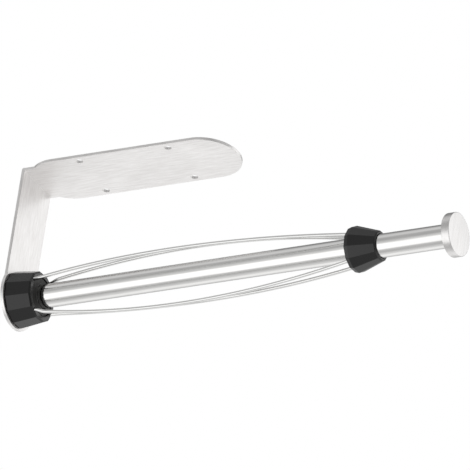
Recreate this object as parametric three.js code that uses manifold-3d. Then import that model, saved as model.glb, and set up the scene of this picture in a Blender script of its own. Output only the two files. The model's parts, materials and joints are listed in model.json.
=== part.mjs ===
// Paper towel holder for mounting under a cabinet or shelf.
//
// One bent sheet-steel bracket screws up against the cabinet and carries a steel tube. A cage turns
// on the tube: a twelve-sided rear hub, four bowed spring wires and a twelve-sided front hub. The
// roll's cardboard core slides over the cage, the wires flatten and push the front hub outwards, and
// a wave washer behind the rear hub gives the drag that lets one hand tear off a sheet.
//
// Millimetres. The origin is on the plate's top face, at the centre of its four screw holes.
// +X runs along the tube towards the knob, and +Z points up into the cabinet.

import * as THREE from "three";
import { mergeVertices } from "three/addons/utils/BufferGeometryUtils.js";
import Module from "manifold-3d";

// Bracket
const SHEET = 2.2;
const BEND_INNER_RADIUS = 0.3;
const BEND_OUTER_RADIUS = 1.2;
const PLATE_TIP_X = 80;
const PLATE_HALF_WIDTH = 25;
const HOLE_SPACING_X = 70;
const HOLE_SPACING_Y = 40;
const SCREW_HOLE_RADIUS = 2.5;
const ARM_OUTER_X = -81.3;
const ARM_INNER_X = ARM_OUTER_X + SHEET;
const ARM_HALF_WIDTH = 19.25;
const NECK_END_X = -71.75;
const SHOULDER_END_X = -55.3;
const LOBE_RADIUS = 21.6;
const LOBE_FILLET = 8;
const FIXING_HOLE_RADIUS = 3.3;

// Tube and knob
const AXIS_Z = -96.4;
const TUBE_RADIUS = 8.4;
const TUBE_BORE = 7.4;
const GROOVE_RADIUS = 7.9;
const KNOB_REAR_X = 261.1;
const KNOB_FRONT_X = 267.3;
const KNOB_RADIUS = 15.5;
const THREAD_RADIUS = 2.95;
const PLUG_RADIUS = 7.25;

// Fits: between pieces that touch or are pressed together, and between the tube and what turns on it
const GAP = 0.2;
const RUNNING_GAP = 0.12;

// Both hubs have twelve flats; HUB_TURN is the angle of the first corner from +Y
const HUB_SIDES = 12;
const HUB_TURN = 22;

// Rear hub
const REAR_HUB_X = ARM_INNER_X + 0.3;
const REAR_HUB_RADIUS = 20.2;
const REAR_RIM_X = -61.2;
const REAR_RIM_RADIUS = 18.1;
const REAR_NOSE_X = -60.1;
const REAR_NOSE_RADIUS = 17;
const WASHER_POCKET_RADIUS = 14.5;
const WEB_REAR_X = -75.6;
const WEB_FRONT_X = -66.3;
const CAP_POCKET_RADIUS = 14;
const CAP_RADIUS = 13.6;
const CAP_SKIRT_BORE = 12.2;
const CAP_FACE_X = -60.6;
const CAP_NOSE_X = -59.4;
const CAP_NOSE_RADIUS = 9.9;
const BUSH_RADIUS = 10;
const BUSH_FLANGE_RADIUS = 11.8;
const RETAINING_RING_X = -64.7;
const RETAINING_RING_THICKNESS = 1;

// Front hub
const FRONT_HUB_REAR_X = 185.4;
const FRONT_HUB_REAR_RADIUS = 15.7;
const FRONT_HUB_WIDE_X = 188.6;
const FRONT_HUB_WIDE_RADIUS = 16.65;
const FRONT_HUB_SMALL_X = 206.4;
const FRONT_HUB_SMALL_RADIUS = 10.85;
const FRONT_HUB_NOSE_X = 207.1;
const FRONT_HUB_NOSE_RADIUS = 9.8;
const HOLDER_FRONT_X = 193.2;
const HOLDER_REAR_RADIUS = 14.2;
const HOLDER_FRONT_RADIUS = 13;
const FRONT_BUSH_RADIUS = 9.9;
const FRONT_BUSH_END_X = 203.2;
const FRONT_SEAT_END_X = 204.4;
const FRONT_MOUTH_RADIUS = TUBE_RADIUS + 0.3;

// Spring wires: each bows in a plane that misses the tube's axis by WIRE_OFFSET, and its rear stub
// stands a little further to that side
const WIRE_COUNT = 4;
const WIRE_RADIUS = 1.25;
const WIRE_CHANNEL_RADIUS = 1.6;
const WIRE_TURN = 179.3;
const WIRE_OFFSET = -5.2;
const BOW_REAR_X = -55.4;
const BOW_FRONT_X = 176.6;
const BOW_REAR_HEIGHT = 15.7;
const BOW_MIDDLE_HEIGHT = 26.3;
const BOW_FRONT_HEIGHT = 13.9;
const STUB_HEIGHT = 13.9;
const STUB_OFFSET = -6.2;
const WIRE_REAR_X = -72;
const WIRE_FRONT_X = 192;

const ROUND = 32;
const FINE_ROUND = 48;
const RAD = Math.PI / 180;

const wasm = await Module();
wasm.setup();

// ---------------------------------------------------------------- solids

function toSolid(geometry) {
  const bare = geometry.clone();
  bare.deleteAttribute("normal");
  bare.deleteAttribute("uv");
  const merged = mergeVertices(bare, 1e-4);
  return new wasm.Manifold(
    new wasm.Mesh({
      numProp: 3,
      vertProperties: new Float32Array(merged.attributes.position.array),
      triVerts: new Uint32Array(merged.index.array),
    }),
  );
}

function toGeometry(solid) {
  const mesh = solid.getMesh();
  const geometry = new THREE.BufferGeometry();
  geometry.setAttribute("position", new THREE.BufferAttribute(mesh.vertProperties, 3));
  geometry.setIndex(new THREE.BufferAttribute(mesh.triVerts, 1));
  geometry.computeVertexNormals();
  return geometry;
}

function cut(base, tools) {
  let solid = toSolid(base);
  for (const tool of tools) solid = solid.subtract(toSolid(tool));
  return toGeometry(solid);
}

// A solid of revolution about the X axis. Each point is [x, radius]; the outer wall runs towards +X.
function turned(points, sides = ROUND, turnDegrees = 0) {
  const profile = points.map(([x, radius]) => new THREE.Vector2(radius, x));
  const geometry = new THREE.LatheGeometry(profile, sides, turnDegrees * RAD);
  return geometry.rotateZ(-Math.PI / 2);
}

function rod(rearX, frontX, radius, sides = ROUND) {
  return turned([[rearX, 0], [rearX, radius], [frontX, radius], [frontX, 0]], sides);
}

function sleeve(rearX, frontX, innerRadius, outerRadius, sides = ROUND) {
  const corners = [
    [rearX, innerRadius],
    [rearX, outerRadius],
    [frontX, outerRadius],
    [frontX, innerRadius],
    [rearX, innerRadius],
  ];
  return turned(corners, sides);
}

function extruded(shape, depth, curveSegments = 12) {
  return new THREE.ExtrudeGeometry(shape, { depth, bevelEnabled: false, curveSegments });
}

// Stands a shape drawn in the YZ plane along +X, starting at rearX.
function alongX(shape, rearX, depth, curveSegments) {
  const axes = new THREE.Matrix4().makeBasis(
    new THREE.Vector3(0, 1, 0),
    new THREE.Vector3(0, 0, 1),
    new THREE.Vector3(1, 0, 0),
  );
  return extruded(shape, depth, curveSegments).applyMatrix4(axes).translate(rearX, 0, 0);
}

// A flat ring with a gap, such as a snap ring or a split washer.
function splitRing(rearX, thickness, innerRadius, outerRadius, gapDegrees, middleDegrees) {
  const start = (middleDegrees + gapDegrees / 2) * RAD;
  const end = (middleDegrees - gapDegrees / 2) * RAD + 2 * Math.PI;
  const shape = new THREE.Shape();
  shape.absarc(0, 0, outerRadius, start, end, false);
  shape.absarc(0, 0, innerRadius, end, start, true);
  return alongX(shape, rearX, thickness, ROUND);
}

// ---------------------------------------------------------------- bracket

function plateOutline() {
  const rise = PLATE_HALF_WIDTH - ARM_HALF_WIDTH;
  const run = SHOULDER_END_X - NECK_END_X;
  const radius = (run * run + rise * rise) / (2 * rise);
  const sweep = Math.asin(run / radius);
  const centreY = radius - PLATE_HALF_WIDTH;
  const tipCentreX = PLATE_TIP_X - PLATE_HALF_WIDTH;
  const quarter = Math.PI / 2;
  const shape = new THREE.Shape();
  shape.moveTo(ARM_OUTER_X - 1, -ARM_HALF_WIDTH);
  shape.lineTo(NECK_END_X, -ARM_HALF_WIDTH);
  shape.absarc(SHOULDER_END_X, centreY, radius, -quarter - sweep, -quarter, false);
  shape.absarc(tipCentreX, 0, PLATE_HALF_WIDTH, -quarter, quarter, false);
  shape.absarc(SHOULDER_END_X, -centreY, radius, quarter, quarter + sweep, false);
  shape.lineTo(ARM_OUTER_X - 1, ARM_HALF_WIDTH);
  return shape;
}

function armOutline() {
  const filletY = ARM_HALF_WIDTH + LOBE_FILLET;
  const filletZ = Math.sqrt((LOBE_RADIUS + LOBE_FILLET) ** 2 - filletY ** 2);
  const lean = Math.atan2(filletZ, filletY);
  const shape = new THREE.Shape();
  shape.moveTo(-ARM_HALF_WIDTH, 1);
  shape.lineTo(-ARM_HALF_WIDTH, AXIS_Z + filletZ);
  shape.absarc(-filletY, AXIS_Z + filletZ, LOBE_FILLET, 0, -lean, true);
  shape.absarc(0, AXIS_Z, LOBE_RADIUS, Math.PI - lean, 2 * Math.PI + lean, false);
  shape.absarc(filletY, AXIS_Z + filletZ, LOBE_FILLET, Math.PI + lean, Math.PI, true);
  shape.lineTo(ARM_HALF_WIDTH, 1);
  return shape;
}

// The bent sheet seen from the side, in the XZ plane.
function sheetSection() {
  const outerX = ARM_OUTER_X + BEND_OUTER_RADIUS;
  const innerX = ARM_INNER_X + BEND_INNER_RADIUS;
  const innerZ = -SHEET - BEND_INNER_RADIUS;
  const bottomZ = AXIS_Z - LOBE_RADIUS - 1;
  const shape = new THREE.Shape();
  shape.moveTo(PLATE_TIP_X + 1, -SHEET);
  shape.lineTo(PLATE_TIP_X + 1, 0);
  shape.absarc(outerX, -BEND_OUTER_RADIUS, BEND_OUTER_RADIUS, Math.PI / 2, Math.PI, false);
  shape.lineTo(ARM_OUTER_X, bottomZ);
  shape.lineTo(ARM_INNER_X, bottomZ);
  shape.absarc(innerX, innerZ, BEND_INNER_RADIUS, Math.PI, Math.PI / 2, true);
  return shape;
}

function bracket() {
  const width = 2 * PLATE_HALF_WIDTH + 2;
  const bentSheet = extruded(sheetSection(), width, 6)
    .rotateX(Math.PI / 2)
    .translate(0, width / 2, 0);
  const bendDepth = SHEET + BEND_INNER_RADIUS + 2;
  const platePrism = extruded(plateOutline(), bendDepth + 1).translate(0, 0, -bendDepth);
  const armPrism = alongX(armOutline(), ARM_OUTER_X - 1, bendDepth + 1, ROUND);
  const outline = toSolid(platePrism).add(toSolid(armPrism));
  let solid = toSolid(bentSheet).intersect(outline);
  for (const sideX of [-1, 1]) {
    for (const sideY of [-1, 1]) {
      const hole = new THREE.CylinderGeometry(SCREW_HOLE_RADIUS, SCREW_HOLE_RADIUS, 4 * SHEET, 24);
      hole.rotateX(Math.PI / 2).translate((sideX * HOLE_SPACING_X) / 2, (sideY * HOLE_SPACING_Y) / 2, 0);
      solid = solid.subtract(toSolid(hole));
    }
  }
  const fixingHole = rod(ARM_OUTER_X - 1, ARM_INNER_X + 1, FIXING_HOLE_RADIUS).translate(0, 0, AXIS_Z);
  return toGeometry(solid.subtract(toSolid(fixingHole)));
}

// ---------------------------------------------------------------- tube, knob and their fastenings
// Everything from here on is drawn about the tube's own axis.

function supportTube() {
  const grooveRear = RETAINING_RING_X - GAP;
  const grooveFront = RETAINING_RING_X + RETAINING_RING_THICKNESS + GAP;
  const rearX = ARM_INNER_X + GAP;
  const frontX = KNOB_REAR_X - GAP;
  const profile = [
    [rearX, TUBE_BORE],
    [rearX, TUBE_RADIUS],
    [grooveRear, TUBE_RADIUS],
    [grooveRear, GROOVE_RADIUS],
    [grooveFront, GROOVE_RADIUS],
    [grooveFront, TUBE_RADIUS],
    [frontX, TUBE_RADIUS],
    [frontX, TUBE_BORE],
    [rearX, TUBE_BORE],
  ];
  return turned(profile, FINE_ROUND);
}

function rearTubePlug() {
  const rearX = ARM_INNER_X + GAP;
  const length = 21;
  const threadDepth = 18;
  const threadHole = THREAD_RADIUS + GAP;
  const profile = [
    [rearX + threadDepth, 0],
    [rearX + threadDepth, threadHole],
    [rearX, threadHole],
    [rearX, PLUG_RADIUS],
    [rearX + length, PLUG_RADIUS],
    [rearX + length, 0],
  ];
  return turned(profile);
}

const LOCK_WASHER_THICKNESS = 1.3;
const LOCK_WASHER_RADIUS = 5.6;
const LOCK_WASHER_X = ARM_OUTER_X - GAP - LOCK_WASHER_THICKNESS;

function lockWasher() {
  const bore = THREAD_RADIUS + GAP;
  return splitRing(LOCK_WASHER_X, LOCK_WASHER_THICKNESS, bore, LOCK_WASHER_RADIUS, 12, 90);
}

// A button-head screw with a hexagon socket.
function fixingScrew() {
  const headX = LOCK_WASHER_X - GAP;
  const headHeight = 3.3;
  const headRadius = 5.25;
  const shankLength = 20.5;
  const tipX = headX + shankLength;
  const screw = turned([
    [headX - headHeight, 0],
    [headX - headHeight, 0.55 * headRadius],
    [headX - 0.75 * headHeight, 0.82 * headRadius],
    [headX - 0.33 * headHeight, headRadius],
    [headX, headRadius],
    [headX, THREAD_RADIUS],
    [tipX - 0.5, THREAD_RADIUS],
    [tipX, THREAD_RADIUS - 0.5],
    [tipX, 0],
  ]);
  const socketDepth = 2;
  const socketRadius = 2.3;
  const socket = rod(headX - headHeight - 1, headX - headHeight + socketDepth, socketRadius, 6);
  return cut(screw, [socket]);
}

const STUD_REAR_X = 246;
const STUD_FRONT_X = 264.8;

function frontTubePlug() {
  return sleeve(STUD_REAR_X - 4, KNOB_REAR_X - GAP, THREAD_RADIUS + GAP, PLUG_RADIUS);
}

function knobStud() {
  const chamfer = 0.5;
  return turned([
    [STUD_REAR_X, 0],
    [STUD_REAR_X, THREAD_RADIUS - chamfer],
    [STUD_REAR_X + chamfer, THREAD_RADIUS],
    [STUD_FRONT_X - chamfer, THREAD_RADIUS],
    [STUD_FRONT_X, THREAD_RADIUS - chamfer],
    [STUD_FRONT_X, 0],
  ]);
}

function endKnob() {
  const chamfer = 0.4;
  const holeBottom = STUD_FRONT_X + GAP;
  const holeRadius = THREAD_RADIUS + GAP;
  const profile = [
    [holeBottom, 0],
    [holeBottom, holeRadius],
    [KNOB_REAR_X, holeRadius],
    [KNOB_REAR_X, KNOB_RADIUS - chamfer],
    [KNOB_REAR_X + chamfer, KNOB_RADIUS],
    [KNOB_FRONT_X - chamfer, KNOB_RADIUS],
    [KNOB_FRONT_X, KNOB_RADIUS - chamfer],
    [KNOB_FRONT_X, 0],
  ];
  return turned(profile, FINE_ROUND);
}

// A snap ring in the tube's groove, with its opening at the bottom.
function retainingRing() {
  const innerRadius = GROOVE_RADIUS + 0.15;
  const outerRadius = 10;
  return splitRing(RETAINING_RING_X, RETAINING_RING_THICKNESS, innerRadius, outerRadius, 50, 270);
}

const THRUST_WASHER_THICKNESS = 1;
const THRUST_WASHER_X = ARM_INNER_X + GAP;

function thrustWasher() {
  const frontX = THRUST_WASHER_X + THRUST_WASHER_THICKNESS;
  return sleeve(THRUST_WASHER_X, frontX, TUBE_RADIUS + GAP, WASHER_POCKET_RADIUS - 0.5);
}

// ---------------------------------------------------------------- spring wires

// Height of a wire above the plane through the tube's axis, at a place along the tube.
function bowHeight(x) {
  const along = (x - BOW_REAR_X) / (BOW_FRONT_X - BOW_REAR_X);
  const fromMiddle = 2 * along - 1;
  const chord = BOW_REAR_HEIGHT + (BOW_FRONT_HEIGHT - BOW_REAR_HEIGHT) * along;
  const rise = BOW_MIDDLE_HEIGHT - (BOW_REAR_HEIGHT + BOW_FRONT_HEIGHT) / 2;
  return chord + rise * (1 - fromMiddle * fromMiddle);
}

function wireTurn(index) {
  return (WIRE_TURN + (index * 360) / WIRE_COUNT) * RAD;
}

function wirePoint(index, x, height, offset) {
  const angle = wireTurn(index);
  const y = height * Math.cos(angle) - offset * Math.sin(angle);
  const z = height * Math.sin(angle) + offset * Math.cos(angle);
  return new THREE.Vector3(x, y, z);
}

function stubPoint(index, x) {
  return wirePoint(index, x, STUB_HEIGHT, STUB_OFFSET);
}

// A straight stub in the rear hub, then the bow, which runs on into the front hub.
function wirePath(index, rearX, frontX) {
  const points = [];
  for (const x of [rearX, REAR_RIM_X - 4, REAR_RIM_X + 1]) {
    if (x >= rearX) points.push(stubPoint(index, x));
  }
  const bowSteps = 12;
  const bowStart = BOW_REAR_X + 3;
  for (let step = 0; step <= bowSteps; step += 1) {
    const x = bowStart + ((frontX - bowStart) * step) / bowSteps;
    points.push(wirePoint(index, x, bowHeight(x), WIRE_OFFSET));
  }
  return new THREE.CatmullRomCurve3(points);
}

function roundBar(path, radius, steps, sides = 8) {
  const section = new THREE.Shape();
  for (let side = 0; side <= sides; side += 1) {
    const angle = (side * 2 * Math.PI) / sides;
    const x = radius * Math.cos(angle);
    const y = radius * Math.sin(angle);
    if (side === 0) section.moveTo(x, y);
    else section.lineTo(x, y);
  }
  return new THREE.ExtrudeGeometry(section, { steps, extrudePath: path, bevelEnabled: false });
}

function springWire(index) {
  return roundBar(wirePath(index, WIRE_REAR_X, WIRE_FRONT_X), WIRE_RADIUS, 48);
}

// The sockets that hold the wires' ends, a little wider and longer than the wires.
function rearChannel(index) {
  const points = [WIRE_REAR_X - 0.4, REAR_NOSE_X + 1].map((x) => stubPoint(index, x));
  return roundBar(new THREE.LineCurve3(...points), WIRE_CHANNEL_RADIUS, 1);
}

// Open to the outside, so that the end of a wire can lift as the wire flattens.
function frontSlot(index) {
  const bottom = bowHeight(WIRE_FRONT_X) - WIRE_CHANNEL_RADIUS;
  const height = HOLDER_REAR_RADIUS - bottom;
  const rearX = FRONT_HUB_REAR_X - 1;
  const length = WIRE_FRONT_X + 0.4 - rearX;
  const slot = new THREE.BoxGeometry(length, height, 2 * WIRE_CHANNEL_RADIUS);
  slot.translate(rearX + length / 2, bottom + height / 2, WIRE_OFFSET);
  return slot.rotateX(wireTurn(index));
}

function forEachWire(make) {
  return Array.from({ length: WIRE_COUNT }, (_, index) => make(index));
}

// ---------------------------------------------------------------- rear hub

function rearHub() {
  const shell = turned(
    [
      [REAR_HUB_X, 0],
      [REAR_HUB_X, REAR_HUB_RADIUS - 0.4],
      [REAR_HUB_X + 0.5, REAR_HUB_RADIUS],
      [REAR_RIM_X, REAR_RIM_RADIUS],
      [REAR_NOSE_X, REAR_NOSE_RADIUS],
      [REAR_NOSE_X, 0],
    ],
    HUB_SIDES,
    HUB_TURN,
  );
  return cut(shell, [
    rod(REAR_HUB_X - 1, WEB_REAR_X, WASHER_POCKET_RADIUS),
    rod(REAR_HUB_X - 1, REAR_NOSE_X + 1, BUSH_RADIUS + GAP),
    rod(WEB_FRONT_X, REAR_NOSE_X + 1, CAP_POCKET_RADIUS),
    ...forEachWire(rearChannel),
  ]);
}

// A flanged bush; the flange bears on the retaining ring.
function rearBush() {
  const bore = TUBE_RADIUS + RUNNING_GAP;
  const rearX = WEB_REAR_X + GAP;
  const flangeX = WEB_FRONT_X + GAP;
  const frontX = RETAINING_RING_X - GAP;
  return turned([
    [rearX, bore],
    [rearX, BUSH_RADIUS],
    [flangeX, BUSH_RADIUS],
    [flangeX, BUSH_FLANGE_RADIUS],
    [frontX, BUSH_FLANGE_RADIUS],
    [frontX, bore],
    [rearX, bore],
  ]);
}

// A thin spring ring pressed into three waves, between the thrust washer and the hub's web.
function waveWasher() {
  const thickness = 0.4;
  const waveHeight = 0.6;
  const innerRadius = 9.2;
  const outerRadius = 13.4;
  const rearLimit = THRUST_WASHER_X + THRUST_WASHER_THICKNESS;
  const middleX = (rearLimit + WEB_REAR_X) / 2;
  const rearX = middleX - thickness / 2;
  const ring = sleeve(rearX, rearX + thickness, innerRadius, outerRadius, 36);
  const position = ring.attributes.position;
  for (let i = 0; i < position.count; i += 1) {
    const angle = Math.atan2(position.getZ(i), position.getY(i));
    position.setX(i, position.getX(i) + waveHeight * Math.cos(3 * angle));
  }
  return ring;
}

// The cap stands in the hub's front pocket and hides the retaining ring. The wires come out of the
// hub's front face around it.
function rearHubCap() {
  const bore = TUBE_RADIUS + GAP;
  const skirtX = WEB_FRONT_X + GAP;
  const floorX = RETAINING_RING_X + RETAINING_RING_THICKNESS + 3 * GAP;
  return turned([
    [floorX, bore],
    [floorX, CAP_SKIRT_BORE],
    [skirtX, CAP_SKIRT_BORE],
    [skirtX, CAP_RADIUS],
    [CAP_FACE_X - 0.4, CAP_RADIUS],
    [CAP_FACE_X, CAP_RADIUS - 0.4],
    [CAP_NOSE_X - 0.5, CAP_NOSE_RADIUS],
    [CAP_NOSE_X, CAP_NOSE_RADIUS - 0.4],
    [CAP_NOSE_X, bore],
    [floorX, bore],
  ]);
}

// ---------------------------------------------------------------- front hub

function frontHub() {
  const shell = turned(
    [
      [FRONT_HUB_REAR_X, 0],
      [FRONT_HUB_REAR_X, FRONT_HUB_REAR_RADIUS],
      [FRONT_HUB_WIDE_X, FRONT_HUB_WIDE_RADIUS],
      [FRONT_HUB_SMALL_X, FRONT_HUB_SMALL_RADIUS],
      [FRONT_HUB_NOSE_X, FRONT_HUB_NOSE_RADIUS],
      [FRONT_HUB_NOSE_X, 0],
    ],
    HUB_SIDES,
    HUB_TURN,
  );
  const slope = (HOLDER_FRONT_RADIUS - HOLDER_REAR_RADIUS) / (HOLDER_FRONT_X - FRONT_HUB_REAR_X);
  const holderPocket = turned([
    [FRONT_HUB_REAR_X - 1, 0],
    [FRONT_HUB_REAR_X - 1, HOLDER_REAR_RADIUS - slope + GAP],
    [HOLDER_FRONT_X + GAP, HOLDER_FRONT_RADIUS + slope * GAP + GAP],
    [HOLDER_FRONT_X + GAP, 0],
  ]);
  return cut(shell, [
    holderPocket,
    rod(HOLDER_FRONT_X, FRONT_SEAT_END_X, FRONT_BUSH_RADIUS + GAP),
    rod(FRONT_BUSH_END_X, FRONT_HUB_NOSE_X + 1, FRONT_MOUTH_RADIUS, FINE_ROUND),
  ]);
}

// The ring whose four slots hold the wires' front ends.
function frontWireHolder() {
  const bore = TUBE_RADIUS + 0.4;
  const rearX = FRONT_HUB_REAR_X + GAP;
  const ring = turned([
    [rearX, bore],
    [rearX, HOLDER_REAR_RADIUS - 0.1],
    [HOLDER_FRONT_X, HOLDER_FRONT_RADIUS - 0.1],
    [HOLDER_FRONT_X, bore],
    [rearX, bore],
  ]);
  return cut(ring, forEachWire(frontSlot));
}

function frontBush() {
  const rearX = HOLDER_FRONT_X + 2 * GAP;
  return sleeve(rearX, FRONT_BUSH_END_X, TUBE_RADIUS + RUNNING_GAP, FRONT_BUSH_RADIUS);
}

// ---------------------------------------------------------------- assembly

const BRUSHED_STEEL = { color: 0xdedddb, roughness: 0.36, metalness: 0.9 };
const BRIGHT_STEEL = { color: 0xd2d2d0, roughness: 0.22, metalness: 1 };
const SPRING_STEEL = { color: 0xa9a9a8, roughness: 0.35, metalness: 1 };
const BLACK_PLASTIC = { color: 0x2c2c2c, roughness: 0.42, metalness: 0 };
const DARK_ACETAL = { color: 0x242422, roughness: 0.5, metalness: 0 };
const WHITE_NYLON = { color: 0xe6e3da, roughness: 0.55, metalness: 0 };

function addMesh(group, name, geometry, finish) {
  const mesh = new THREE.Mesh(geometry, new THREE.MeshStandardMaterial(finish));
  mesh.name = name;
  group.add(mesh);
}

const holder = new THREE.Group();
addMesh(holder, "mounting_bracket", bracket(), BRUSHED_STEEL);

const onAxis = new THREE.Group();
onAxis.position.z = AXIS_Z;
holder.add(onAxis);

addMesh(onAxis, "support_tube", supportTube(), BRIGHT_STEEL);
addMesh(onAxis, "rear_tube_plug", rearTubePlug(), SPRING_STEEL);
addMesh(onAxis, "lock_washer", lockWasher(), SPRING_STEEL);
addMesh(onAxis, "fixing_screw", fixingScrew(), BRIGHT_STEEL);
addMesh(onAxis, "front_tube_plug", frontTubePlug(), SPRING_STEEL);
addMesh(onAxis, "knob_stud", knobStud(), SPRING_STEEL);
addMesh(onAxis, "end_knob", endKnob(), BRUSHED_STEEL);
addMesh(onAxis, "retaining_ring", retainingRing(), SPRING_STEEL);
addMesh(onAxis, "thrust_washer", thrustWasher(), WHITE_NYLON);

addMesh(onAxis, "rear_hub", rearHub(), BLACK_PLASTIC);
addMesh(onAxis, "rear_hub_cap", rearHubCap(), DARK_ACETAL);
addMesh(onAxis, "rear_bush", rearBush(), DARK_ACETAL);
addMesh(onAxis, "wave_washer", waveWasher(), SPRING_STEEL);
forEachWire((index) => {
  addMesh(onAxis, `spring_wire_${index + 1}`, springWire(index), BRIGHT_STEEL);
});

addMesh(onAxis, "front_hub", frontHub(), BLACK_PLASTIC);
addMesh(onAxis, "front_wire_holder", frontWireHolder(), DARK_ACETAL);
addMesh(onAxis, "front_bush", frontBush(), DARK_ACETAL);

export default holder;
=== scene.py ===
"""Looks of an under-cabinet paper towel holder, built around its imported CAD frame.

Lengths are metres in the CAD frame: +X runs along the tube towards the knob, +Z points up into the
cabinet, and the origin is on the bracket's top face. Constants named in millimetres end in _MM.
"""

import json
import math

import bmesh
import bpy
from mathutils import Euler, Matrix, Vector

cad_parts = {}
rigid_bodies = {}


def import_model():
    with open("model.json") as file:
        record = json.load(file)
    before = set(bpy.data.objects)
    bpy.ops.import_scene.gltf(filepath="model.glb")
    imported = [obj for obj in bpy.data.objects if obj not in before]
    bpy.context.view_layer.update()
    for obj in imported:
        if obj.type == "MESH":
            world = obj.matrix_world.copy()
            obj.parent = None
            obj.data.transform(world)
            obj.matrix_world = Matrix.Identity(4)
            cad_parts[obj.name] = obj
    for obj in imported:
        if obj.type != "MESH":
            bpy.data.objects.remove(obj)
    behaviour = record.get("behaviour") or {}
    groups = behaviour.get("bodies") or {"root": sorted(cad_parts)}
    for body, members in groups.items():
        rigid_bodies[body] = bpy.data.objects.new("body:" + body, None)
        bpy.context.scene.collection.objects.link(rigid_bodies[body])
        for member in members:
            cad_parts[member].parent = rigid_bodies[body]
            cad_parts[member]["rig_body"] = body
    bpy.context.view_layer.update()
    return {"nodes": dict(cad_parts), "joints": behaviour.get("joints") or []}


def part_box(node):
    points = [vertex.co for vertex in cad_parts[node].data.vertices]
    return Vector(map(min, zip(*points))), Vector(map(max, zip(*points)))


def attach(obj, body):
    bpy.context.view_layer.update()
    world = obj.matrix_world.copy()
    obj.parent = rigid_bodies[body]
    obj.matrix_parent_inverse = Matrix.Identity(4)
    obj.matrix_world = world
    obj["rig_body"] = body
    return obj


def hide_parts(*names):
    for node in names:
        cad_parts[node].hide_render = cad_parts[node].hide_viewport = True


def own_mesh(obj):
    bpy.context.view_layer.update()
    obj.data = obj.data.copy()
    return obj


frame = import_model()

MM = 0.001
AXIS_Z = frame["joints"][0]["pos_m"][2]


# ---------------------------------------------------------------- small helpers

ROUND_SIDES = 128
# How much of the shorter leg at a corner its rounding may take up
CORNER_SHARE = 0.45
# In a copy of a CAD node, points this close together become one, faces that meet at less than the
# first angle are merged, and edges that turn by more than the second stay sharp and are bevelled
WELD_DISTANCE = 2e-6
FLAT_DEGREES = 0.5
SHARP_DEGREES = 20
BEVEL_SEGMENTS = 3
NORMAL_WEIGHT = 80


def radius_of(node):
    """The outer radius of a round CAD node about the tube's axis."""
    low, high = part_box(node)
    return (high.y - low.y) / 2


def smooth_by_angle(mesh, degrees):
    for polygon in mesh.polygons:
        polygon.use_smooth = True
    mesh.set_sharp_from_angle(angle=math.radians(degrees))


def add_bevel(piece, width):
    bevel = piece.modifiers.new("edge_round", "BEVEL")
    bevel.width = width
    bevel.segments = BEVEL_SEGMENTS
    bevel.limit_method = "ANGLE"
    bevel.angle_limit = math.radians(SHARP_DEGREES)
    bevel.use_clamp_overlap = True


def add_weighted_normals(piece):
    weighted = piece.modifiers.new("even_shading", "WEIGHTED_NORMAL")
    weighted.keep_sharp = True
    weighted.weight = NORMAL_WEIGHT


def make_piece(name, mesh, node, material):
    """A piece that stands for a CAD node and rides on that node's body."""
    piece = bpy.data.objects.new(name, mesh)
    bpy.context.scene.collection.objects.link(piece)
    mesh.materials.clear()
    mesh.materials.append(material)
    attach(piece, frame["nodes"][node]["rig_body"])
    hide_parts(node)
    return piece


def mesh_from(bm, name, smooth_degrees=30):
    """A mesh from a finished bmesh, smooth except at edges that turn by more than the angle."""
    bmesh.ops.recalc_face_normals(bm, faces=bm.faces)
    mesh = bpy.data.meshes.new(name)
    bm.to_mesh(mesh)
    bm.free()
    smooth_by_angle(mesh, smooth_degrees)
    return mesh


def arc(centre, radius, start, end, steps):
    """Points on an arc, angles in degrees, both ends included."""
    points = []
    for step in range(steps + 1):
        angle = math.radians(start + (end - start) * step / steps)
        points.append((centre[0] + radius * math.cos(angle), centre[1] + radius * math.sin(angle)))
    return points


def lathe_ring(bm, x, radius):
    """One ring of a solid of revolution, or a single point where the ring is on the axis."""
    if radius == 0:
        return [bm.verts.new((x, 0, AXIS_Z))]
    ring = []
    for side in range(ROUND_SIDES):
        angle = 2 * math.pi * side / ROUND_SIDES
        y = radius * math.cos(angle)
        z = AXIS_Z + radius * math.sin(angle)
        ring.append(bm.verts.new((x, y, z)))
    return ring


def lathe(name, profile, closed=False):
    """A solid of revolution about the tube's axis. The profile is (x, radius) pairs.
    An open profile starts and ends on the axis; a closed one is a loop clear of it."""
    bm = bmesh.new()
    rings = [lathe_ring(bm, x, radius) for x, radius in profile]
    pairs = list(zip(rings, rings[1:]))
    if closed:
        pairs.append((rings[-1], rings[0]))
    for first, second in pairs:
        for side in range(ROUND_SIDES):
            after = (side + 1) % ROUND_SIDES
            corners = [first[side % len(first)], first[after % len(first)]]
            corners += [second[after % len(second)], second[side % len(second)]]
            bm.faces.new(list(dict.fromkeys(corners)))
    return mesh_from(bm, name)


def rounded(profile, radius, steps=4):
    """The profile with each inner corner rounded off."""
    points = [Vector(point) for point in profile]
    out = [points[0]]
    for before, corner, after in zip(points, points[1:], points[2:]):
        back = before - corner
        onward = after - corner
        reach = min(radius, back.length * CORNER_SHARE, onward.length * CORNER_SHARE)
        start = corner + back.normalized() * reach
        end = corner + onward.normalized() * reach
        for step in range(steps + 1):
            t = step / steps
            out.append(start * (1 - t) ** 2 + corner * (2 * t * (1 - t)) + end * t ** 2)
    out.append(points[-1])
    return [tuple(point) for point in out]


def rounded_loop(loop, radius, steps=4):
    """The closed loop with every corner rounded off."""
    wrapped = [loop[-1], *loop, loop[0]]
    return rounded(wrapped, radius, steps)[1:-1]


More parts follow.
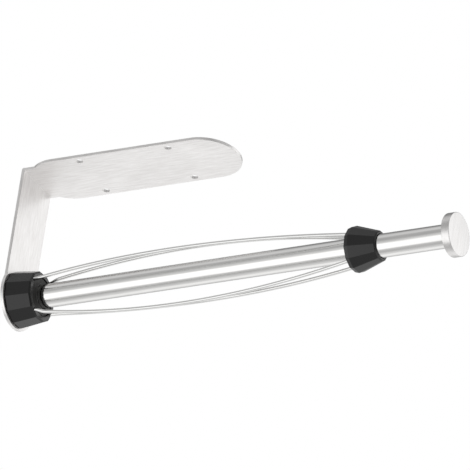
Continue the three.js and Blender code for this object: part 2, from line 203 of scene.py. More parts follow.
def refined_copy(name, node):
    """A welded copy of a CAD node's mesh, with its flat faces merged, ready to be bevelled."""
    bm = bmesh.new()
    bm.from_mesh(frame["nodes"][node].data)
    bmesh.ops.remove_doubles(bm, verts=bm.verts, dist=WELD_DISTANCE)
    bmesh.ops.dissolve_limit(
        bm,
        angle_limit=math.radians(FLAT_DEGREES),
        verts=bm.verts,
        edges=bm.edges,
        use_dissolve_boundaries=False,
    )
    return mesh_from(bm, name, SHARP_DEGREES)


# ---------------------------------------------------------------- materials

# The attribute that says where a point of the bracket lies on its flat blank
BLANK_PLACE = "pattern"

# Brushed steel: coarse streaks, finer ones over them, and slow clouds of tone
FINER_ALONG = 2.5
FINER_ACROSS = 5
STREAK_DETAIL = 3.0
STREAK_ROUGHNESS = 0.65
STREAK_SHARE = 0.7
BRUSHED_GRAIN_SHARE = 0.8
BRUSHED_CLOUD_SCALE = 28.0
BRUSH_DEPTH = 0.0001

# Turned steel: fine rings, and a few soft smudges
RING_SCALE = 2600.0
SCREW_RING_SCALE = 4200.0
RING_LENGTH_SCALE = 60
RING_SHARE = 0.6
SMUDGE_SCALE = 45.0
RING_BUMP = 0.03
RING_DEPTH = 0.00005

# Moulded plastic: a fine spark-eroded texture, and slightly paler edges
MOULD_GRAIN_SCALE = 2200.0
MOULD_CLOUD_SCALE = 60.0
MOULD_BUMP = 0.05
MOULD_DEPTH = 0.00004
WORN_EDGE_RADIUS = 0.0006
WORN_EDGE_SAMPLES = 4
WORN_EDGE_AMOUNT = 0.6


class Nodes:
    """A node tree, with short calls that make its nodes and links."""

    def __init__(self, tree):
        self.tree = tree

    def node(self, kind, **values):
        made = self.tree.nodes.new(kind)
        for key, value in values.items():
            setattr(made, key, value)
        return made

    def link(self, source, target):
        self.tree.links.new(source, target)

    def maths(self, operation, *values):
        """A maths node's result. Each value is a number or another node's output."""
        node = self.node("ShaderNodeMath", operation=operation)
        for socket, value in zip(node.inputs, values):
            if isinstance(value, (int, float)):
                socket.default_value = value
            else:
                self.link(value, socket)
        return node.outputs["Value"]


class Shader(Nodes):
    """A material, with short calls for the textures that the finishes use."""

    def __init__(self, name):
        self.material = bpy.data.materials.new(name)
        self.material.use_nodes = True
        super().__init__(self.material.node_tree)
        self.bsdf = self.tree.nodes["Principled BSDF"]

    def object_place(self):
        return self.node("ShaderNodeTexCoord").outputs["Object"]

    def blank_place(self):
        return self.node("ShaderNodeAttribute", attribute_name=BLANK_PLACE).outputs["Vector"]

    def upright_place(self):
        """Object coordinates turned so that the grain's long direction is +Z."""
        turn = self.node("ShaderNodeMapping")
        turn.inputs["Rotation"].default_value = (0, math.radians(90), 0)
        self.link(self.object_place(), turn.inputs["Vector"])
        return turn.outputs["Vector"]

    def stretched(self, source, scale):
        mapping = self.node("ShaderNodeMapping")
        mapping.inputs["Scale"].default_value = scale
        self.link(source, mapping.inputs["Vector"])
        return mapping.outputs["Vector"]

    def noise(self, vector, scale, detail=2.0, rough=0.5):
        noise = self.node("ShaderNodeTexNoise")
        noise.inputs["Scale"].default_value = scale
        noise.inputs["Detail"].default_value = detail
        noise.inputs["Roughness"].default_value = rough
        self.link(vector, noise.inputs["Vector"])
        return noise.outputs["Fac"]

    def blend(self, first, second, share):
        """The first value times its share, plus the second times the rest."""
        first_part = self.maths("MULTIPLY", first, share)
        second_part = self.maths("MULTIPLY", second, 1 - share)
        return self.maths("ADD", first_part, second_part)

    def spread(self, value, low, high, start=0.3, end=0.7):
        """Maps a texture value between start and end onto low to high."""
        remap = self.node("ShaderNodeMapRange")
        remap.inputs["From Min"].default_value = start
        remap.inputs["From Max"].default_value = end
        remap.inputs["To Min"].default_value = low
        remap.inputs["To Max"].default_value = high
        self.link(value, remap.inputs["Value"])
        return remap.outputs["Result"]

    def set_colour(self, factor, dark, light):
        """Colours the surface from dark to light as the factor goes from 0 to 1."""
        mix = self.node("ShaderNodeMix", data_type="RGBA")
        mix.inputs["A"].default_value = (*dark, 1)
        mix.inputs["B"].default_value = (*light, 1)
        self.link(factor, mix.inputs["Factor"])
        self.link(mix.outputs["Result"], self.bsdf.inputs["Base Color"])

    def set_roughness(self, value, lowest_highest):
        self.link(self.spread(value, *lowest_highest), self.bsdf.inputs["Roughness"])

    def set_bump(self, height, strength, distance):
        bump = self.node("ShaderNodeBump")
        bump.inputs["Strength"].default_value = strength
        bump.inputs["Distance"].default_value = distance
        self.link(height, bump.inputs["Height"])
        self.link(bump.outputs["Normal"], self.bsdf.inputs["Normal"])

    def edge_wear(self):
        """Above 0 close to an edge, where the rounded normal leaves the true one, and else 0."""
        edge = self.node("ShaderNodeBevel", samples=WORN_EDGE_SAMPLES)
        edge.inputs["Radius"].default_value = WORN_EDGE_RADIUS
        geometry = self.node("ShaderNodeNewGeometry")
        dot = self.node("ShaderNodeVectorMath", operation="DOT_PRODUCT")
        self.link(edge.outputs["Normal"], dot.inputs[0])
        self.link(geometry.outputs["Normal"], dot.inputs[1])
        return self.spread(dot.outputs["Value"], WORN_EDGE_AMOUNT, 0.0, start=0.93, end=0.995)


def brushed_steel(name, place, streaks, light, dark, roughness, bump):
    """Steel with a straight grain. Streaks gives how many lie in a metre, along and across it."""
    shader = Shader(name)
    shader.bsdf.inputs["Metallic"].default_value = 1.0
    along, across = streaks
    vector = place(shader)
    coarse_place = shader.stretched(vector, (along, across, across))
    coarse = shader.noise(coarse_place, 1.0, STREAK_DETAIL, STREAK_ROUGHNESS)
    finer = (along * FINER_ALONG, across * FINER_ACROSS, across * FINER_ACROSS)
    fine = shader.noise(shader.stretched(vector, finer), 1.0)
    grain = shader.blend(coarse, fine, STREAK_SHARE)
    cloud = shader.noise(vector, BRUSHED_CLOUD_SCALE)
    tone = shader.blend(grain, cloud, BRUSHED_GRAIN_SHARE)
    shader.set_colour(shader.spread(tone, 0, 1, start=0.35, end=0.65), dark, light)
    shader.set_roughness(grain, roughness)
    shader.set_bump(grain, bump, BRUSH_DEPTH)
    return shader.material


def turned_steel(name, light, dark, roughness, rings=RING_SCALE):
    """Steel turned or ground about the tube's axis."""
    shader = Shader(name)
    shader.bsdf.inputs["Metallic"].default_value = 1.0
    vector = shader.object_place()
    ring_place = shader.stretched(vector, (rings, RING_LENGTH_SCALE, RING_LENGTH_SCALE))
    grain = shader.noise(ring_place, 1.0)
    smudge = shader.noise(vector, SMUDGE_SCALE, detail=3.0)
    tone = shader.blend(grain, smudge, RING_SHARE)
    shader.set_colour(shader.spread(tone, 0, 1), dark, light)
    shader.set_roughness(tone, roughness)
    shader.set_bump(grain, RING_BUMP, RING_DEPTH)
    return shader.material


def moulded_plastic(name, colour, worn, roughness):
    shader = Shader(name)
    vector = shader.object_place()
    texture = shader.noise(vector, MOULD_GRAIN_SCALE)
    cloud = shader.noise(vector, MOULD_CLOUD_SCALE, detail=3.0)
    rubbed = shader.maths("MULTIPLY", shader.edge_wear(), shader.spread(cloud, 0.3, 1.0))
    shader.set_colour(rubbed, colour, worn)
    shader.set_roughness(cloud, roughness)
    shader.set_bump(texture, MOULD_BUMP, MOULD_DEPTH)
    return shader.material


SHEET_STEEL = brushed_steel(
    "brushed_sheet",
    Shader.blank_place,
    streaks=(70, 760),
    light=(0.95, 0.938, 0.93),
    dark=(0.725, 0.71, 0.70),
    roughness=(0.32, 0.44),
    bump=0.04,
)
KNOB_STEEL = brushed_steel(
    "brushed_knob",
    Shader.upright_place,
    streaks=(40, 420),
    light=(0.83, 0.82, 0.815),
    dark=(0.69, 0.68, 0.672),
    roughness=(0.26, 0.30),
    bump=0.008,
)
TUBE_STEEL = brushed_steel(
    "satin_tube",
    Shader.object_place,
    streaks=(30, 900),
    light=(0.86, 0.855, 0.845),
    dark=(0.76, 0.755, 0.745),
    roughness=(0.055, 0.10),
    bump=0.02,
)
WIRE_STEEL = brushed_steel(
    "drawn_wire",
    Shader.object_place,
    streaks=(80, 3000),
    light=(0.86, 0.86, 0.85),
    dark=(0.70, 0.70, 0.69),
    roughness=(0.05, 0.10),
    bump=0.02,
)
TURNED_STEEL = turned_steel(
    "turned_steel",
    light=(0.66, 0.655, 0.645),
    dark=(0.52, 0.515, 0.505),
    roughness=(0.24, 0.36),
)
SCREW_STEEL = turned_steel(
    "screw_steel",
    light=(0.72, 0.715, 0.70),
    dark=(0.58, 0.575, 0.56),
    roughness=(0.2, 0.32),
    rings=SCREW_RING_SCALE,
)
SPRING_STEEL = turned_steel(
    "spring_steel",
    light=(0.42, 0.415, 0.41),
    dark=(0.28, 0.275, 0.27),
    roughness=(0.28, 0.4),
)
HUB_PLASTIC = moulded_plastic(
    "hub_plastic",
    colour=(0.0065, 0.0065, 0.0065),
    worn=(0.022, 0.022, 0.022),
    roughness=(0.18, 0.25),
)
CAP_PLASTIC = moulded_plastic(
    "cap_plastic",
    colour=(0.012, 0.0115, 0.0105),
    worn=(0.03, 0.03, 0.028),
    roughness=(0.4, 0.5),
)
ACETAL = moulded_plastic(
    "dark_acetal",
    colour=(0.014, 0.014, 0.0135),
    worn=(0.03, 0.03, 0.03),
    roughness=(0.36, 0.48),
)
NYLON = moulded_plastic(
    "white_nylon",
    colour=(0.74, 0.71, 0.64),
    worn=(0.8, 0.78, 0.72),
    roughness=(0.4, 0.55),
)


# ---------------------------------------------------------------- bracket
# The bracket is cut out flat, as the real blank is, and then folded. On the flat blank, u runs
# along the strip and equals X on the plate; past the bend it goes on down to the end of the arm.

SHEET_MM = 2.2
BEND_INSIDE_MM = 0.1
BEND_OUTSIDE_MM = 1.2
BEND_STEPS = 16
NECK_END_MM = -71.75
SHOULDER_END_MM = -55.3
LOBE_RADIUS_MM = 21.6
LOBE_FILLET_MM = 8
SCREW_HOLE_RADIUS_MM = 2.5
SCREW_PITCH_X_MM = 70
SCREW_PITCH_Y_MM = 40
FIXING_HOLE_RADIUS_MM = 3.3
EDGE_ROUND_MM = 0.22
EDGE_STEPS = 2
ARM_HALF_WIDTH_MM = 19.25
TIP_STEPS = 28
SHOULDER_STEPS = 12
FILLET_STEPS = 10
LOBE_STEPS = 40
HOLE_SIDES = 48
BLANK_WELD_MM = 0.002
BEND_CUT_TOLERANCE_MM = 1e-5
BRACKET_SHARP_DEGREES = 40


def bend_length():
    """Length of blank that the bend takes up, measured round the outside."""
    return 2 * (SHEET_MM + BEND_INSIDE_MM - BEND_OUTSIDE_MM) + math.pi / 2 * BEND_OUTSIDE_MM


def bracket_sizes():
    """The X of the arm's outer face and of the plate's tip, and the plate's half width, in mm."""
    low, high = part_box("mounting_bracket")
    return low.x / MM, high.x / MM, high.y / MM


def blank_outline(arm_x, tip_x, half_width):
    """The blank's outline in millimetres, and the u of the bend's start and the lobe's centre."""
    bend_u = arm_x + SHEET_MM + BEND_INSIDE_MM
    arm_u = bend_u - bend_length()
    lobe_u = arm_u + AXIS_Z / MM + SHEET_MM + BEND_INSIDE_MM
    rise = half_width - ARM_HALF_WIDTH_MM
    run = SHOULDER_END_MM - NECK_END_MM
    shoulder = (run * run + rise * rise) / (2 * rise)
    sweep = math.degrees(math.asin(run / shoulder))
    fillet_y = ARM_HALF_WIDTH_MM + LOBE_FILLET_MM
    fillet_u = math.sqrt((LOBE_RADIUS_MM + LOBE_FILLET_MM) ** 2 - fillet_y ** 2)
    lean = math.degrees(math.atan2(fillet_u, fillet_y))
    shoulder_centre = (SHOULDER_END_MM, half_width - shoulder)
    fillet_centre = (lobe_u + fillet_u, fillet_y)
    upper = arc((tip_x - half_width, 0), half_width, 0, 90, TIP_STEPS)
    upper += arc(shoulder_centre, shoulder, 90, 90 + sweep, SHOULDER_STEPS)
    upper += arc(fillet_centre, LOBE_FILLET_MM, -90, -90 - lean, FILLET_STEPS)
    upper += arc((lobe_u, 0), LOBE_RADIUS_MM, 90 - lean, 180, LOBE_STEPS)
    lower = [(u, -y) for u, y in reversed(upper[1:-1])]
    return upper + lower, bend_u, lobe_u


def fill_blank(outline, holes):
    """A flat sheet with rounded edges, from a filled two-dimensional curve."""
    curve = bpy.data.curves.new("blank", "CURVE")
    curve.dimensions = "2D"
    curve.fill_mode = "BOTH"
    curve.extrude = SHEET_MM / 2 - EDGE_ROUND_MM
    curve.bevel_depth = EDGE_ROUND_MM
    curve.bevel_resolution = EDGE_STEPS
    curve.offset = -EDGE_ROUND_MM
    for loop in [outline, *holes]:
        spline = curve.splines.new("POLY")
        spline.points.add(len(loop) - 1)
        for point, (u, y) in zip(spline.points, loop):
            point.co = (u, y, 0, 1)
        spline.use_cyclic_u = True
    blank = bpy.data.objects.new("blank", curve)
    bpy.context.scene.collection.objects.link(blank)
    mesh = bpy.data.meshes.new_from_object(blank)
    bpy.data.objects.remove(blank)
    bpy.data.curves.remove(curve)
    return mesh


def outside_of_bend(beyond, bend_u):
    """A point on the outside of the bend, as (x, z): straight, round the corner, then straight."""
    straight = SHEET_MM + BEND_INSIDE_MM - BEND_OUTSIDE_MM
    round_length = math.pi / 2 * BEND_OUTSIDE_MM
    centre = Vector((bend_u - straight, -BEND_OUTSIDE_MM))
    if beyond <= straight:
        return Vector((bend_u - beyond, 0))
    if beyond <= straight + round_length:
        angle = (beyond - straight) / BEND_OUTSIDE_MM
        return centre + BEND_OUTSIDE_MM * Vector((-math.sin(angle), math.cos(angle)))
    return centre + Vector((-BEND_OUTSIDE_MM, -(beyond - straight - round_length)))


def inside_of_bend(share, bend_u):
    """A point on the inside of the bend, as (x, z), at a share of the way round it."""
    angle = share * math.pi / 2
    centre = Vector((bend_u, -SHEET_MM - BEND_INSIDE_MM))
    return centre + BEND_INSIDE_MM * Vector((-math.sin(angle), math.cos(angle)))


def fold(u, y, height, bend_u):
    """Where a point of the blank is once the arm is folded down. The height is from mid-sheet."""
    if u >= bend_u:
        return Vector((u, y, height - SHEET_MM / 2))
    length = bend_length()
    beyond = min(bend_u - u, length)
    inside = inside_of_bend(beyond / length, bend_u)
    outside = outside_of_bend(beyond, bend_u)
    x, z = inside.lerp(outside, height / SHEET_MM + 0.5)
    return Vector((x, y, z - (bend_u - u - beyond)))


def hole(centre, radius):
    """The outline of a round hole."""
    return arc(centre, radius, 0, 360 - 360 / HOLE_SIDES, HOLE_SIDES - 1)


def blank_holes(lobe_u):
    """The hole for the tube's screw, and the four holes that the bracket is screwed up by."""
    holes = [hole((lobe_u, 0), FIXING_HOLE_RADIUS_MM)]
    for side_u in (-1, 1):
        for side_y in (-1, 1):
            centre = (side_u * SCREW_PITCH_X_MM / 2, side_y * SCREW_PITCH_Y_MM / 2)
            holes.append(hole(centre, SCREW_HOLE_RADIUS_MM))
    return holes


def cut_across_bend(bm, bend_u):
    """Cuts the blank into narrow strips where it bends."""
    for step in range(BEND_STEPS + 1):
        plane = (bend_u - bend_length() * step / BEND_STEPS, 0, 0)
        geometry = bm.verts[:] + bm.edges[:] + bm.faces[:]
        bmesh.ops.bisect_plane(
            bm,
            geom=geometry,
            dist=BEND_CUT_TOLERANCE_MM,
            plane_co=plane,
            plane_no=(1, 0, 0),
        )


def bracket_mesh():
    """The folded sheet. Each point keeps its place on the flat blank, which the grain follows."""
    arm_x, tip_x, half_width = bracket_sizes()
    outline, bend_u, lobe_u = blank_outline(arm_x, tip_x, half_width)
    bm = bmesh.new()
    bm.from_mesh(fill_blank(outline, blank_holes(lobe_u)))
    bmesh.ops.remove_doubles(bm, verts=bm.verts, dist=BLANK_WELD_MM)
    cut_across_bend(bm, bend_u)
    pattern = bm.verts.layers.float_vector.new(BLANK_PLACE)
    for vertex in bm.verts:
        vertex[pattern] = vertex.co * MM
        vertex.co = fold(*vertex.co, bend_u) * MM
    return mesh_from(bm, "bracket_sheet", BRACKET_SHARP_DEGREES)


def build_bracket():
    mesh = bracket_mesh()
    piece = make_piece("bracket_sheet", mesh, "mounting_bracket", SHEET_STEEL)
    add_weighted_normals(piece)


# ---------------------------------------------------------------- tube and knob

TUBE_WALL_MM = 1.0
TUBE_EDGE_MM = 0.25
KNOB_HOLE_RADIUS_MM = 3.15
KNOB_HOLE_DEPTH_MM = 3.9
KNOB_EDGE_MM = 0.5
KNOB_EDGE_STEPS = 6


def build_tube():
    low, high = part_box("support_tube")
    radius = radius_of("support_tube")
    bore = radius - TUBE_WALL_MM * MM
    loop = [(low.x, bore), (low.x, radius), (high.x, radius), (high.x, bore)]
    mesh = lathe("tube_sleeve", rounded_loop(loop, TUBE_EDGE_MM * MM), closed=True)
    make_piece("tube_sleeve", mesh, "support_tube", TUBE_STEEL)


def build_knob():
    """A disc with a blind hole in its rear face for the stud."""
    low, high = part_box("end_knob")
    radius = radius_of("end_knob")
    hole_radius = KNOB_HOLE_RADIUS_MM * MM
    hole_end_x = low.x + KNOB_HOLE_DEPTH_MM * MM
    profile = [
        (hole_end_x, 0),
        (hole_end_x, hole_radius),
        (low.x, hole_radius),
        (low.x, radius),
        (high.x, radius),
        (high.x, 0),
    ]
    mesh = lathe("knob_disc", rounded(profile, KNOB_EDGE_MM * MM, KNOB_EDGE_STEPS))
    make_piece("knob_disc", mesh, "end_knob", KNOB_STEEL)


# ---------------------------------------------------------------- spring wires

WIRE_COUNT = 4
WIRE_TURN_DEGREES = 179.3
WIRE_OFFSET_MM = -5.2
WIRE_RADIUS_MM = 1.25
STUB_HEIGHT_MM = 13.9
STUB_OFFSET_MM = -6.2
STUB_END_MM = -60.2
STUB_END_SLOPE = 0.2
BOW_START_MM = -52.4
# The two ends of the bow's curve, each as X and height
BOW_REAR_MM = (-55.4, 15.7)
BOW_FRONT_MM = (176.6, 13.9)
BOW_MIDDLE_HEIGHT_MM = 26.3
SLOPE_STEP_MM = 0.01
WIRE_STEPS = 150
WIRE_SIDES = 16
WIRE_SHARP_DEGREES = 50
# How far the front tip stops short of its CAD node's, inside the hub
WIRE_TIP_GAP_MM = 0.3


def bow_height(x):
    """Height of a wire above the plane through the tube's axis, in millimetres."""
    along = (x - BOW_REAR_MM[0]) / (BOW_FRONT_MM[0] - BOW_REAR_MM[0])
    chord = BOW_REAR_MM[1] + (BOW_FRONT_MM[1] - BOW_REAR_MM[1]) * along
    rise = BOW_MIDDLE_HEIGHT_MM - (BOW_REAR_MM[1] + BOW_FRONT_MM[1]) / 2
    return chord + rise * (1 - (2 * along - 1) ** 2)


def bend_place(x):
    """Height and sideways offset of a wire in the bend between its stub and its bow."""
    length = BOW_START_MM - STUB_END_MM
    t = (x - STUB_END_MM) / length
    start = bow_height(BOW_START_MM)
    slope = (bow_height(BOW_START_MM + SLOPE_STEP_MM) - start) / SLOPE_STEP_MM
    share = 3 * t ** 2 - 2 * t ** 3
    height = STUB_HEIGHT_MM + (start - STUB_HEIGHT_MM) * share
    height += length * (STUB_END_SLOPE * t * (1 - t) ** 2 - slope * t ** 2 * (1 - t))
    return height, STUB_OFFSET_MM + (WIRE_OFFSET_MM - STUB_OFFSET_MM) * share


def wire_place(x):
    """Height and sideways offset of a wire: straight in the rear hub, then a bend, then the bow."""
    if x <= STUB_END_MM:
        return STUB_HEIGHT_MM, STUB_OFFSET_MM
    if x >= BOW_START_MM:
        return bow_height(x), WIRE_OFFSET_MM
    return bend_place(x)


def wire_directions(index):
    """The direction a wire bows in, and the direction square to its plane."""
    angle = math.radians(WIRE_TURN_DEGREES + index * 360 / WIRE_COUNT)
    out = Vector((0, math.cos(angle), math.sin(angle)))
    side = Vector((0, -math.sin(angle), math.cos(angle)))
    return out, side


def wire_point(index, x):
    """The middle of a wire at X in millimetres, as a place in metres."""
    out, side = wire_directions(index)
    height, offset = wire_place(x)
    return (Vector((x, 0, 0)) + out * height + side * offset) * MM + Vector((0, 0, AXIS_Z))


def wire_ring(bm, point, forward, side):
    """A ring round one point of a wire, square to the way the wire runs there."""
    up = forward.cross(side).normalized()
    across = up.cross(forward)
    radius = WIRE_RADIUS_MM * MM
    ring = []
    for step in range(WIRE_SIDES):
        angle = 2 * math.pi * step / WIRE_SIDES
        spoke = (up * math.cos(angle) + across * math.sin(angle)) * radius
        ring.append(bm.verts.new(point + spoke))
    return ring


def swept_wire(name, points, side):
    """A round bar along a line of points that never runs in the side direction."""
    bm = bmesh.new()
    rings = []
    last = len(points) - 1
    for index, point in enumerate(points):
        forward = (points[min(index + 1, last)] - points[max(index - 1, 0)]).normalized()
        rings.append(wire_ring(bm, point, forward, side))
    for first, second in zip(rings, rings[1:]):
        for step in range(WIRE_SIDES):
            after = (step + 1) % WIRE_SIDES
            bm.faces.new((first[step], first[after], second[after], second[step]))
    bm.faces.new(list(reversed(rings[0])))
    bm.faces.new(rings[-1])
    return mesh_from(bm, name, WIRE_SHARP_DEGREES)


def build_wire(index, stations):
    """One wire, swept along its path through the given stations."""
    out, side = wire_directions(index)
    points = [wire_point(index, x) for x in stations]
    name = f"bowed_wire_{index + 1}"
    mesh = swept_wire(name, points, side)
    piece = make_piece(name, mesh, f"spring_wire_{index + 1}", WIRE_STEEL)
    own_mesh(piece)


def build_wires():
    low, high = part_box("spring_wire_1")
    rear = low.x / MM
    length = high.x / MM - rear - WIRE_TIP_GAP_MM
    stations = [rear + length * step / WIRE_STEPS for step in range(WIRE_STEPS + 1)]
    for index in range(WIRE_COUNT):
        build_wire(index, stations)


# ---------------------------------------------------------------- hubs and inner parts

HUB_BEVEL_MM = 0.25
WIRE_RING_BEVEL_MM = 0.15
INNER_BEVEL_MM = 0.12

# The cap's pocket, and where its sloping face starts and ends, measured back from the cap's front
CAP_POCKET_DEPTH_MM = 3.0
CAP_POCKET_RADIUS_MM = 12.2
CAP_SLOPE_START_MM = 1.2
CAP_SLOPE_END_MM = 0.5
CAP_SLOPE_END_RADIUS_MM = 9.9
CAP_EDGE_MM = 0.4
CAP_ROUND_MM = 0.12
CAP_ROUND_STEPS = 3
CAP_CLEARANCE_MM = 0.2

# Fine turned grooves on the slope; its length and the first groove's place are in groove pitches
GROOVE_COUNT = 5
GROOVE_FIRST = 0.8
SLOPE_PITCHES = 5.4
GROOVE_HALF_WIDTH_MM = 0.25
GROOVE_DEPTH_MM = 0.14


def build_bevelled(name, node, material, bevel_mm):
    """A copy of a CAD node with its edges rounded."""
    piece = make_piece(name, refined_copy(name, node), node, material)
    add_bevel(piece, bevel_mm * MM)
    add_weighted_normals(piece)


def cap_slope(start, end):
    """The sloping face from start to end, with its grooves."""
    along = (end - start).normalized()
    away = Vector((-along.y, along.x))
    points = [start]
    for groove in range(GROOVE_COUNT):
        middle = start.lerp(end, (groove + GROOVE_FIRST) / SLOPE_PITCHES)
        edge = along * GROOVE_HALF_WIDTH_MM * MM
        points += [middle - edge, middle - away * GROOVE_DEPTH_MM * MM, middle + edge]
    points.append(end)
    return [tuple(point) for point in points]


def build_cap():
    """A ring round the tube, with a pocket that covers the retaining ring and a sloping front."""
    low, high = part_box("rear_hub_cap")
    outer = radius_of("rear_hub_cap")
    bore = radius_of("support_tube") + CAP_CLEARANCE_MM * MM
    pocket = CAP_POCKET_RADIUS_MM * MM
    floor_x = low.x + CAP_POCKET_DEPTH_MM * MM
    edge = CAP_EDGE_MM * MM
    start = Vector((high.x - CAP_SLOPE_START_MM * MM, outer - edge))
    end = Vector((high.x - CAP_SLOPE_END_MM * MM, CAP_SLOPE_END_RADIUS_MM * MM))
    loop = [(floor_x, bore), (floor_x, pocket), (low.x, pocket), (low.x, outer)]
    loop += [(start.x - edge, outer), *cap_slope(start, end)]
    loop += [(high.x, end.y - edge), (high.x, bore)]
    rounded_profile = rounded_loop(loop, CAP_ROUND_MM * MM, CAP_ROUND_STEPS)
    mesh = lathe("hub_cap_ring", rounded_profile, closed=True)
    make_piece("hub_cap_ring", mesh, "rear_hub_cap", CAP_PLASTIC)


def build_hubs():
    build_bevelled("rear_hub_body", "rear_hub", HUB_PLASTIC, HUB_BEVEL_MM)
    build_bevelled("front_hub_body", "front_hub", HUB_PLASTIC, HUB_BEVEL_MM)
    build_bevelled(
        "front_wire_ring", "front_wire_holder", ACETAL, WIRE_RING_BEVEL_MM
    )
    build_cap()


def build_inner_parts():
    """The small parts inside, each a bevelled copy of its CAD node."""
    finishes = {
        "rear_tube_plug": (TURNED_STEEL, "turned_steel"),
        "front_tube_plug": (TURNED_STEEL, "turned_steel"),
        "knob_stud": (TURNED_STEEL, "turned_steel"),
        "fixing_screw": (SCREW_STEEL, "screw_steel"),
        "lock_washer": (SCREW_STEEL, "screw_steel"),
        "retaining_ring": (SPRING_STEEL, "spring_steel"),
        "wave_washer": (SPRING_STEEL, "spring_steel"),
        "thrust_washer": (NYLON, "white_nylon"),
        "rear_bush": (ACETAL, "dark_acetal"),
        "front_bush": (ACETAL, "dark_acetal"),
    }
    for node, (material, slot) in finishes.items():
        build_bevelled(node + "_detail", node, material, INNER_BEVEL_MM)


# ---------------------------------------------------------------- studio

CAMERA_AZIMUTH = 32.28
CAMERA_ELEVATION = -30.16
CAMERA_ROLL = 9.04
CAMERA_DISTANCE = 14.0
CAMERA_AIM = Vector((0.0881, -0.0002, -0.0694))
CAMERA_CLIP = (1.0, 100.0)
# Width of what the camera sees at the distance it aims at, in metres
FRAME_WIDTH = 0.32426
SENSOR_WIDTH = 36.0

FLOOR_Z = -0.26
FLOOR_HALF_WIDTH = 4.0
FLOOR_ROUGHNESS = 0.9
FLOOR_CLOUD_SCALE = 6.0
FLOOR_DARK = (0.80, 0.80, 0.79)
FLOOR_LIGHT = (0.84, 0.84, 0.83)

LIGHT_PLACE = Vector((0.5, -0.6, 1.4))
LIGHT_AIM = Vector((0.09, 0, -0.1))
LIGHT_WIDTH = 1.2
LIGHT_POWER = 6.0

# How bright the studio is in each direction round the tube's axis. Each row has the angle, in
# degrees from +Y over +Z, the level for directions that lean to the bracket's end or lie square to
# the tube, and the level for directions that lean well to the knob's end.
STUDIO = [
    (0, 0.66, 0.78), (12, 0.44, 1.04), (32, 0.30, 1.28), (50, 0.26, 1.06), (68, 0.26, 0.45),
    (86, 0.29, 0.4), (104, 0.62, 0.64), (122, 0.72, 0.66), (146, 0.46, 0.36), (160, 0.46, 0.30),
    (184, 0.72, 0.30), (202, 1.3, 0.30), (238, 1.28, 0.30), (256, 0.60, 0.34), (272, 0.53, 0.45),
    (296, 0.76, 0.80), (316, 1.05, 1.05), (330, 1.03, 1.03), (348, 0.74, 0.82),
]
STUDIO_FULL_SCALE = 1.5
# Between these two values of a direction's X, the first level gives way to the second
STUDIO_TURN_X = (0.2, 0.36)


def build_camera():
    azimuth = math.radians(CAMERA_AZIMUTH)
    elevation = math.radians(CAMERA_ELEVATION)
    back = Vector((
        math.sin(azimuth) * math.cos(elevation),
        -math.cos(azimuth) * math.cos(elevation),
        math.sin(elevation),
    ))
    data = bpy.data.cameras.new("camera")
    data.sensor_width = SENSOR_WIDTH
    data.lens = SENSOR_WIDTH * CAMERA_DISTANCE / FRAME_WIDTH
    data.clip_start, data.clip_end = CAMERA_CLIP
    camera = bpy.data.objects.new("camera", data)
    bpy.context.scene.collection.objects.link(camera)
    level = (-back).to_track_quat("-Z", "Y")
    roll = Euler((0, 0, math.radians(CAMERA_ROLL))).to_quaternion()
    camera.rotation_mode = "QUATERNION"
    camera.rotation_quaternion = level @ roll
    camera.location = CAMERA_AIM + back * CAMERA_DISTANCE
    bpy.context.scene.camera = camera


def studio_ramp(nodes, turn, column):
    """The brightness round the tube's axis, from one column of the studio's table."""
    ramp = nodes.node("ShaderNodeValToRGB")
    ramp.color_ramp.interpolation = "EASE"
    stops = ramp.color_ramp.elements
    while len(stops) < len(STUDIO) + 1:
        stops.new(1.0)
    for stop, row in zip(stops, [*STUDIO, (360, *STUDIO[0][1:])]):
        level = row[column] / STUDIO_FULL_SCALE
        stop.position = row[0] / 360
        stop.color = (level, level, level, 1)
    nodes.link(turn, ramp.inputs["Fac"])
    return ramp.outputs["Color"]


def studio_colour(nodes):
    """The studio's brightness in every direction."""
    place = nodes.node("ShaderNodeTexCoord")
    split = nodes.node("ShaderNodeSeparateXYZ")
    nodes.link(place.outputs["Generated"], split.inputs["Vector"])
    angle = nodes.maths("ARCTAN2", split.outputs["Z"], split.outputs["Y"])
    turn = nodes.maths("WRAP", nodes.maths("DIVIDE", angle, 2 * math.pi), 1.0, 0.0)
    lean = nodes.node("ShaderNodeMapRange", interpolation_type="SMOOTHSTEP")
    lean.inputs["From Min"].default_value, lean.inputs["From Max"].default_value = STUDIO_TURN_X
    nodes.link(split.outputs["X"], lean.inputs["Value"])
    both = nodes.node("ShaderNodeMix", data_type="RGBA")
    nodes.link(lean.outputs["Result"], both.inputs["Factor"])
    nodes.link(studio_ramp(nodes, turn, 1), both.inputs["A"])
    nodes.link(studio_ramp(nodes, turn, 2), both.inputs["B"])
    return both.outputs["Result"]


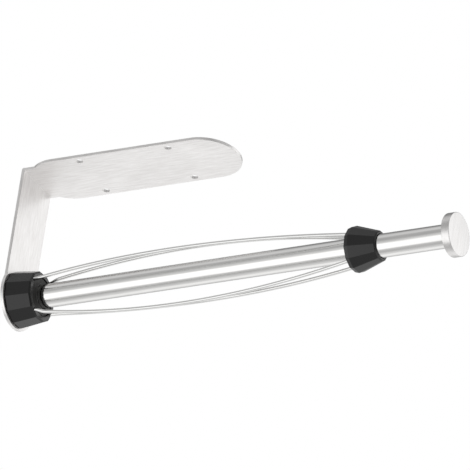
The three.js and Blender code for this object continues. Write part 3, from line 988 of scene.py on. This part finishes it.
def build_world():
    """A studio whose soft boxes run along the tube. Seen directly, the world is plain white."""
    world = bpy.data.worlds.new("studio")
    world.use_nodes = True
    bpy.context.scene.world = world
    nodes = Nodes(world.node_tree)
    nodes.tree.nodes.clear()
    studio = nodes.node("ShaderNodeBackground")
    studio.inputs["Strength"].default_value = STUDIO_FULL_SCALE
    nodes.link(studio_colour(nodes), studio.inputs["Color"])
    plain = nodes.node("ShaderNodeBackground")
    plain.inputs["Color"].default_value = (1, 1, 1, 1)
    seen = nodes.node("ShaderNodeLightPath")
    mix = nodes.node("ShaderNodeMixShader")
    out = nodes.node("ShaderNodeOutputWorld")
    nodes.link(seen.outputs["Is Camera Ray"], mix.inputs["Fac"])
    nodes.link(studio.outputs["Background"], mix.inputs[1])
    nodes.link(plain.outputs["Background"], mix.inputs[2])
    nodes.link(mix.outputs["Shader"], out.inputs["Surface"])


def floor_material():
    """A pale material on the upper side of a face, and a clear one on its underside."""
    shader = Shader("floor")
    shader.bsdf.inputs["Roughness"].default_value = FLOOR_ROUGHNESS
    cloud = shader.noise(shader.object_place(), FLOOR_CLOUD_SCALE)
    shader.set_colour(shader.spread(cloud, 0, 1), FLOOR_DARK, FLOOR_LIGHT)
    clear = shader.node("ShaderNodeBsdfTransparent")
    side = shader.node("ShaderNodeNewGeometry")
    mix = shader.node("ShaderNodeMixShader")
    shader.link(side.outputs["Backfacing"], mix.inputs["Fac"])
    shader.link(shader.bsdf.outputs["BSDF"], mix.inputs[1])
    shader.link(clear.outputs["BSDF"], mix.inputs[2])
    shader.link(mix.outputs["Shader"], shader.tree.nodes["Material Output"].inputs["Surface"])
    return shader.material


def build_floor():
    """A pale floor that shows from above only, so that the view from below looks through it."""
    half = FLOOR_HALF_WIDTH
    corners = [(-half, -half), (half, -half), (half, half), (-half, half)]
    mesh = bpy.data.meshes.new("floor")
    mesh.from_pydata([(x, y, FLOOR_Z) for x, y in corners], [], [(0, 1, 2, 3)])
    mesh.materials.append(floor_material())
    floor = bpy.data.objects.new("floor", mesh)
    bpy.context.scene.collection.objects.link(floor)
    floor.visible_glossy = False
    floor.visible_diffuse = False
    floor.visible_shadow = False


def build_light():
    """One broad soft light overhead. Polished surfaces don't reflect it."""
    data = bpy.data.lights.new("overhead", "AREA")
    data.shape = "SQUARE"
    data.size = LIGHT_WIDTH
    data.energy = LIGHT_POWER
    light = bpy.data.objects.new("overhead", data)
    light.location = LIGHT_PLACE
    light.rotation_mode = "QUATERNION"
    light.rotation_quaternion = (LIGHT_AIM - LIGHT_PLACE).to_track_quat("-Z", "Y")
    light.visible_glossy = False
    bpy.context.scene.collection.objects.link(light)


# ---------------------------------------------------------------- the whole scene

build_camera()
build_world()
build_floor()
build_light()
build_bracket()
build_tube()
build_knob()
build_wires()
build_hubs()
build_inner_parts()
bpy.context.scene.view_settings.view_transform = "Standard"
